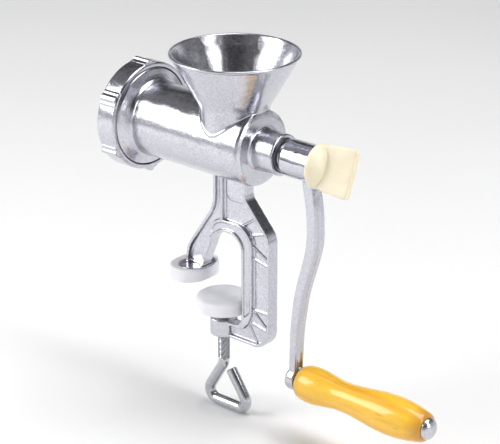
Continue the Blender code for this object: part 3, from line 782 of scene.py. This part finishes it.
def hopper_loop(rise, half_x, half_y):
    z = AXIS_Z + rise
    turns = np.linspace(0, 2 * math.pi, 160, endpoint=False)
    return [Vector((HOPPER_X + half_x * math.cos(t), half_y * math.sin(t), z)) for t in turns]


def hopper_loops(wall, low, high):
    """The funnel's loops between two heights over the barrel axis, drawn in by a wall."""
    stations = [s for s in smooth_curve(HOPPER_STATIONS, 30) if low <= s[0] <= high]
    return [hopper_loop(rise, half_x - wall, half_y - wall) for rise, half_x, half_y in stations]


def hopper_solid():
    rim = ((0.0662, RIM_R - 0.0002), (0.0671, RIM_R + 0.0001), (RIM_RISE, RIM_R - 0.0003))
    loops = hopper_loops(0.0, 0.0, 0.07)
    loops += [hopper_loop(rise, radius, radius) for rise, radius in rim]
    return loft("hopper", loops)


def hopper_hollow():
    inside = RIM_R - HOPPER_WALL
    loops = [hopper_loop(-0.0040, 0.0200, 0.0236)] + hopper_loops(HOPPER_WALL, 0.01, 0.06)
    loops.append(hopper_loop(RIM_RISE, inside, inside))
    loops.append(hopper_loop(RIM_RISE + 0.004, RIM_R, RIM_R))
    return loft("hopper_hollow", loops)


def bead_loop(point, up, side, radius):
    """Eight points round a point of a raised line."""
    turns = [math.pi * i / 4 for i in range(8)]
    return [point + radius * (math.cos(t) * up + math.sin(t) * side) for t in turns]


def seam_bead():
    """The raised line where the funnel runs out on the barrel, on both sides."""
    made = []
    for sign in (-1, 1):
        path = []
        for turn in np.linspace(math.radians(-8), math.radians(188), 60):
            x = HOPPER_X + 0.0232 * math.cos(turn)
            y = 0.0267 * math.sin(turn)
            z = math.sqrt(max(BARREL_SKIN_R**2 - y**2, 0))
            path.append(Vector((x, sign * y, AXIS_Z + z)))
        loops = []
        for i, point in enumerate(path):
            along = direction(path, i)
            up = along.cross(Vector((0.3, 0.8, 0.5))).normalized()
            loops.append(bead_loop(point, up, along.cross(up), SEAM_R))
        made.append(loft("seam", loops))
    return made


def side_bead():
    """The raised mould line that climbs the funnel from the barrel to the rim, on the near side."""
    cos = math.cos(SIDE_BEAD_TURN)
    sin = math.sin(SIDE_BEAD_TURN)
    out = Vector((cos, sin, -0.4)).normalized()
    loops = []
    for rise, half_x, half_y in smooth_curve(HOPPER_STATIONS, 60):
        if 0.016 < rise < 0.0655:
            point = Vector((HOPPER_X + half_x * cos, half_y * sin, AXIS_Z + rise))
            loops.append(bead_loop(point, out, Vector((-sin, cos, 0)), SIDE_BEAD_R))
    return loft("side_bead", loops)


def make_casting():
    outline = rounded(OUTER_LEFT) + rounded(INNER) + rounded(OUTER_RIGHT)
    left, right, band = frame_pockets()
    steps = []
    for outline_in, floor_half in ((left, WEB_HALF), (right, WEB_HALF), (band, BAND_HALF)):
        steps += [("DIFFERENCE", mesh) for mesh in pockets(outline_in, floor_half)]
    for start, end in ZIGZAG:
        steps.append(("UNION", prism("rib", rib_outline(start, end), RIB_DEPTH_HALF)))
    steps.append(("UNION", prism("neck_pad", rounded(NECK_PAD), RIB_DEPTH_HALF)))
    steps.append(("UNION", slab("foot", obround(0.0030, 0.0112, 0.0155), 0.0076, 0.0112)))
    steps.append(("UNION", turned("boss", SCREW_BOSS, SCREW, Z_AXIS, 64)))
    steps.append(("UNION", turned("barrel", BARREL_PROFILE, segments=160)))
    steps.append(("UNION", hopper_solid()))
    steps += [("UNION", mesh) for mesh in seam_bead() + [side_bead()]]
    steps.append(("DIFFERENCE", turned("bore", BARREL_BORE, segments=128)))
    steps.append(("DIFFERENCE", hopper_hollow()))
    steps.append(("DIFFERENCE", pin("rod_hole", 0.0051, -0.0440, -0.0222, SCREW, Z_AXIS)))
    body = merged("casting", prism("frame_blank", outline, FRAME_HALF), steps, LARGE_VOXEL, 3)
    finished(body, "housing", "cast_aluminium", CAST, "body_casting")


# ---- outlet ----
def make_ring():
    steps = []
    for i in range(LUG_COUNT):
        spin = Matrix.Rotation(2 * math.pi * i / LUG_COUNT, 4, "X")
        loops = [[BARREL + spin @ Vector((x, y, z)) for y, z in LUG_SECTION] for x in LUG_FACES]
        steps.append(("UNION", loft("lug", loops)))
    ring = merged("ring", turned_tube("ring", RING_PROFILE, segments=160), steps, SMALL_VOXEL, 3)
    finished(ring, "ring", "cast_aluminium", CAST, "retaining_ring")


def plate_holes():
    centres = []
    for radius, count in PLATE_HOLE_ROWS:
        for i in range(count):
            turn = 2 * math.pi * (i + 0.5) / count
            centres.append((radius * math.sin(turn), radius * math.cos(turn)))
    return centres


def make_plate():
    profile = [(-0.0577, 0.0306), (-0.0573, 0.0310), (-0.0521, 0.0310), (-0.0517, 0.0306)]
    front, back = -0.060, -0.050
    steps = [("DIFFERENCE", pin("centre", 0.0045, front, back))]
    for y, z in plate_holes():
        hole = pin("hole", PLATE_HOLE_R, front, back, BARREL + Vector((0, y, z)), segments=24)
        steps.append(("DIFFERENCE", hole))
    notch = [(front, -0.002), (back, -0.002), (back, 0.002), (front, 0.002)]
    steps.append(("DIFFERENCE", slab("notch", notch, 0.1448, 0.1530)))
    plate = merged("plate", turned("plate", profile, segments=128), steps)
    bevel = plate.modifiers.new("bevel", "BEVEL")
    bevel.width = 0.00015
    bevel.limit_method = "ANGLE"
    finished(plate, "plate", "steel", DARK_STEEL, "cutting_plate", angle=35)


# ---- feed screw ----
def make_feed_screw():
    loops = []
    for share in np.linspace(0, 1, 260):
        along = FLIGHT_START + FLIGHT_LENGTH * (0.78 * share + 0.22 * share**2)
        spin = Matrix.Rotation(2 * math.pi * FLIGHT_TURNS * share, 4, "X")
        loops.append([BARREL + spin @ Vector((along + a, 0, r)) for a, r in FLIGHT_SECTION])
    steps = [
        ("UNION", loft("flight", loops)),
        ("UNION", square_bar("square", 0.0910, 0.1120, 0.0065)),
        ("DIFFERENCE", pin("tapped", 0.0041, 0.092, 0.116, segments=32)),
        ("DIFFERENCE", pin("socket", 0.0053, -0.048, -0.030)),
    ]
    screw = merged("auger", turned("auger", AUGER_CORE), steps, LARGE_VOXEL, 2)
    finished(screw, "rotor", "cast_aluminium", CAST, "feed_screw")


# ---- crank ----
def make_crank():
    loops = []
    for drop, inner, thick in smooth_curve(ARM_STATIONS, 90):
        z = AXIS_Z - drop
        loops.append([Vector((inner + u * thick, v * ARM_HALF, z)) for u, v in ARM_SECTION])
    steps = [
        ("UNION", loft("arm", loops)),
        ("UNION", turned("eye", CRANK_EYE, SPINDLE, segments=64)),
        ("DIFFERENCE", square_bar("square", 0.089, 0.114, 0.0068)),
        ("DIFFERENCE", pin("stud_hole", 0.0048, 0.112, 0.125)),
        ("DIFFERENCE", pin("pin_hole", 0.0039, 0.092, 0.110, SPINDLE)),
    ]
    crank = merged("crank", turned("crank", CRANK_BOSS), steps, CRANK_VOXEL, 3)
    finished(crank, "rotor", "polished_aluminium", CRANK, "crank_arm")


def make_grip():
    outside = [(GRIP_START + s * GRIP_LENGTH, r) for s, r in smooth_curve(GRIP_PROFILE, 110)]
    profile = [(GRIP_START, GRIP_BORE_R)] + outside + [(GRIP_END, GRIP_BORE_R)]
    finished(turned_tube("grip", profile, SPINDLE), "grip", "wood", WOOD, "handle_grip", angle=50)


def make_spindle():
    end = GRIP_END + 0.0003
    flange = [(end, 0.0036), (end, 0.0078), (end + 0.0004, 0.0082)]
    dome = smooth_curve([(end + along, radius) for along, radius in SPINDLE_DOME], 24)
    profile = SPINDLE_RIVET + flange + dome
    finished(turned("spindle", profile, SPINDLE), "rotor", "steel", STEEL, "handle_spindle", angle=40)


# ---- thumb screw ----
def make_knob():
    outline = rounded(KNOB_WING, 6)
    spin = Matrix.Rotation(WING_TURN, 4, "X")
    loops = []
    for side in (-1, -0.8, 0.8, 1):
        inset = 0.95 if abs(side) == 1 else 1.0
        row = []
        for along, rise in outline:
            half = 0.0056 - 0.09 * along
            x = KNOB_X + 0.004 + (along - 0.004) * inset
            point = Vector((x, side * half, rise * inset))
            row.append(BARREL + spin @ point)
        loops.append(row)
    steps = [
        ("UNION", loft("wing", loops)),
        ("DIFFERENCE", pin("seat", 0.0041, KNOB_X - 0.004, KNOB_X + 0.0084)),
    ]
    profile = [(KNOB_X + a, r) for a, r in KNOB_BASE]
    knob = merged("knob", turned("knob", profile), steps, SMALL_VOXEL, 5)
    finished(knob, "thumb_knob", "ivory_plastic", IVORY, "thumb_screw_knob")


# ---- pads and clamp screw ----
def make_jaw_pad():
    loops = []
    for z, inset in JAW_PAD_EDGE:
        outline = obround(0.0, 0.0150 - inset, 0.0208 - inset)
        loops.append([Vector((x, y, z)) for x, y in outline])
    recess = slab("recess", obround(0.0030, 0.0115, 0.0158), 0.0073, 0.0150)
    steps = [("DIFFERENCE", recess)]
    pad = merged("upper_pad", loft("upper_pad", loops), steps, SMALL_VOXEL, 3)
    finished(pad, "housing", "white_plastic", WHITE, "jaw_pad")


def make_clamp_pad():
    steps = [
        ("DIFFERENCE", pin("recess", 0.0153, -0.0223, -0.0143, SCREW, Z_AXIS, 96)),
        ("DIFFERENCE", pin("cup", 0.0064, -0.0193, -0.0115, SCREW, Z_AXIS)),
    ]
    blank = turned("lower_pad", CLAMP_PAD, SCREW, Z_AXIS, 128)
    pad = merged("lower_pad", blank, steps, SMALL_VOXEL, 3)
    finished(pad, "clamp_head", "white_plastic", WHITE, "clamp_pad")


def rod_radius(z, turn):
    """The radius of the threaded length, at a height and a turn about its axis."""
    phase = (z / THREAD_PITCH + turn / (2 * math.pi)) % 1
    return ROD_R - THREAD_DEPTH * min(1, max(0, 1.5 * abs(2 * phase - 1) - 0.25))


def make_clamp_screw():
    bends = rounded(LOOP_CORNERS, 16)[1:]
    straight = [Vector((SCREW_X, THREAD_TOP - THREAD_STEP * i)) for i in range(THREAD_STEPS)]
    path = [Vector((p[0], 0, p[1])) for p in straight + bends]
    segments = 40
    loops = []
    for i, point in enumerate(path):
        up = direction(path, i).cross(Y_AXIS)
        row = []
        for turn in map(float, np.linspace(0, 2 * math.pi, segments, endpoint=False)):
            radius = rod_radius(point.z, turn) if i < THREAD_STEPS else LOOP_R
            row.append(point + radius * (math.cos(turn) * up + math.sin(turn) * Y_AXIS))
        loops.append(row)
    last = loops[-1]
    middle = sum(last, Vector()) / segments
    push = (path[-1] - path[-2]).normalized() * 0.0006
    loops.append([middle + (p - middle) * 0.75 + push for p in last])
    rivet = turned("rivet", SCREW_RIVET, SCREW, Z_AXIS, 48)
    screw = merged("clamp_rod", loft("rod", loops), [("UNION", rivet)])
    finished(screw, "screw", "steel", STEEL, "clamp_screw", angle=40)


make_casting()
make_ring()
make_plate()
make_feed_screw()
make_crank()
make_grip()
make_spindle()
make_knob()
make_jaw_pad()
make_clamp_pad()
make_clamp_screw()

# ---- CAD nodes that stay ----
for name, material in (
    ("bearing_bush", DARK_STEEL),
    ("plate_key", STEEL),
    ("drive_stud", STEEL),
    ("cross_knife", STEEL),
    ("thrust_washer", DARK_STEEL),
    ("spindle_washer", STEEL),
    ("thumb_screw_stud", STEEL),
    ("swivel_disc", STEEL),
):
    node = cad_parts[name]
    for slot in node.material_slots:
        slot.material = material
    edge = node.modifiers.new("edge", "BEVEL")
    edge.width = 0.0002
    edge.limit_method = "ANGLE"


# ---- floor, light and camera ----
def make_floor():
    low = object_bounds()[0][2] - 0.0005
    corners = [(-9, -9, low), (9, -9, low), (9, 9, low), (-9, 9, low)]
    mesh = mesh_from("floor", corners, [(0, 1, 2, 3)])
    floor = placed("floor", mesh)
    m = Nodes("floor")
    tone = m.ramp(m.noise(m.place(), 3, 2.0), [(0.3, 0.90), (0.7, 0.92)])
    m.link(tone, m.shader.inputs["Base Color"])
    m.set(Roughness=0.6)
    mesh.materials.append(m.material)


def area_light(name, place, aim, size, power):
    light = bpy.data.lights.new(name, "AREA")
    light.shape = "RECTANGLE"
    light.size, light.size_y = size
    light.energy = power
    obj = placed(name, light)
    obj.location = place
    obj.rotation_euler = (Vector(aim) - Vector(place)).to_track_quat("-Z", "Y").to_euler()


def make_world():
    """A room that is bright low down and round the sides, and dark overhead and behind."""
    world = bpy.data.worlds.new("room")
    bpy.context.scene.world = world
    world.use_nodes = True
    tree = world.node_tree
    coord = tree.nodes.new("ShaderNodeTexCoord")
    split = tree.nodes.new("ShaderNodeSeparateXYZ")
    height = tree.nodes.new("ShaderNodeMapRange")
    height.inputs["From Min"].default_value = -1.0
    noise = tree.nodes.new("ShaderNodeTexNoise")
    noise.inputs["Scale"].default_value = 2.2
    noise.inputs["Detail"].default_value = 1.0
    shade = tree.nodes.new("ShaderNodeMath")
    shade.operation = "MULTIPLY_ADD"
    shade.inputs[1].default_value = 0.30
    ramp = tree.nodes.new("ShaderNodeValToRGB")
    stops = ((0.50, 0.95), (0.72, 0.85), (0.82, 0.30), (0.93, 0.05), (0.99, 0.05), (1.0, 0.25))
    set_stops(ramp, [(position, (level, level, level * 1.03)) for position, level in stops])
    tree.links.new(coord.outputs["Generated"], split.inputs["Vector"])
    tree.links.new(split.outputs["Z"], height.inputs["Value"])
    tree.links.new(coord.outputs["Generated"], noise.inputs["Vector"])
    tree.links.new(noise.outputs["Fac"], shade.inputs[0])
    tree.links.new(height.outputs["Result"], shade.inputs[2])
    tree.links.new(shade.outputs[0], ramp.inputs["Fac"])
    tree.links.new(ramp.outputs["Color"], tree.nodes["Background"].inputs["Color"])
    tree.nodes["Background"].inputs["Strength"].default_value = 0.95


def make_camera():
    data = bpy.data.cameras.new("camera")
    data.lens = LENS
    data.clip_end = 60
    camera = placed("camera", data)
    level = math.cos(ELEVATION)
    away = Vector((math.sin(AZIMUTH) * level, -math.cos(AZIMUTH) * level, math.sin(ELEVATION)))
    camera.location = AIM + away * DISTANCE
    camera.rotation_euler = (-away).to_track_quat("-Z", "Y").to_euler()
    bpy.context.scene.camera = camera


make_floor()
make_world()
area_light("key", (-1.15, -1.25, 0.95), (0.05, 0, 0.08), (1.1, 1.1), 24)
area_light("fill", (1.5, 0.1, 0.75), (0.05, 0, 0.08), (0.35, 1.1), 10)
area_light("top", (0.35, 0.30, 2.2), (0.05, 0, 0.0), (1.4, 1.4), 34)
make_camera()
bpy.context.scene.view_settings.view_transform = "Standard"
